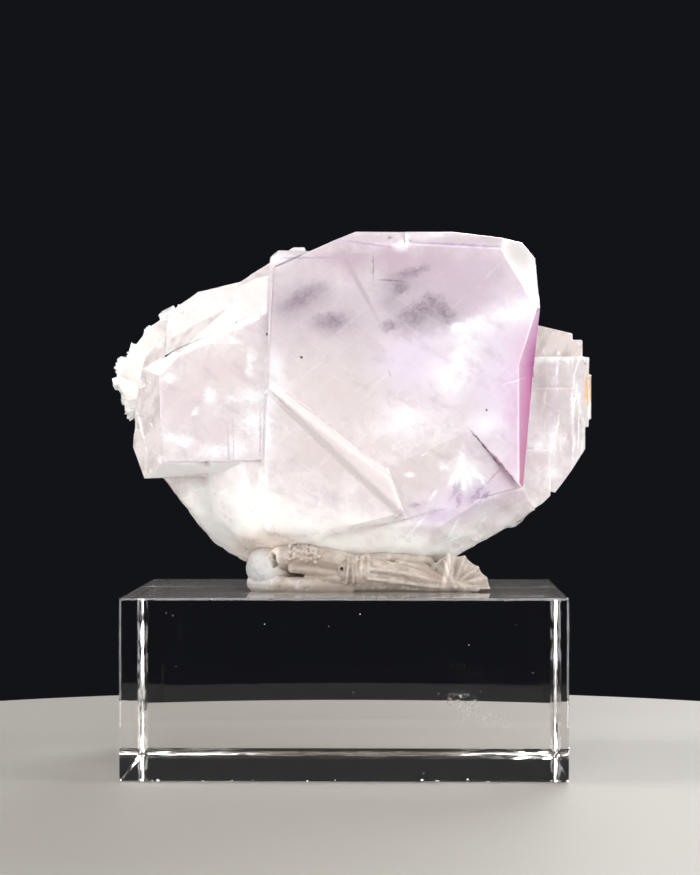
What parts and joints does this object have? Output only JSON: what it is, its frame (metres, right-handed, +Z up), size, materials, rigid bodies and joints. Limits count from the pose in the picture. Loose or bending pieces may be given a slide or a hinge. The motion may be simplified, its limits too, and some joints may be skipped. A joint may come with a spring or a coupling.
{
  "type": "fluorite crystal cluster on a display block",
  "caption": "Cluster of pale lilac cubic crystals grown together, pressed with mounting putty onto a clear rectangular display block.",
  "frame": {"origin": "centre of the block's underside", "axes": "+X to the right along the block's width, +Y from the show face to the back, +Z up"},
  "size_m": [0.0862, 0.0636, 0.0942],
  "materials": {
    "fluorite": "milky translucent pale lilac, flat faces glossy, breaks frosted",
    "mineral_putty": "matt off-white putty",
    "clear_acrylic": "clear, polished"
  },
  "bodies": {
    "root": {"fluorite_cluster": "fluorite", "mounting_putty": "mineral_putty", "acrylic_block": "clear_acrylic"}
  },
  "joints": []
}
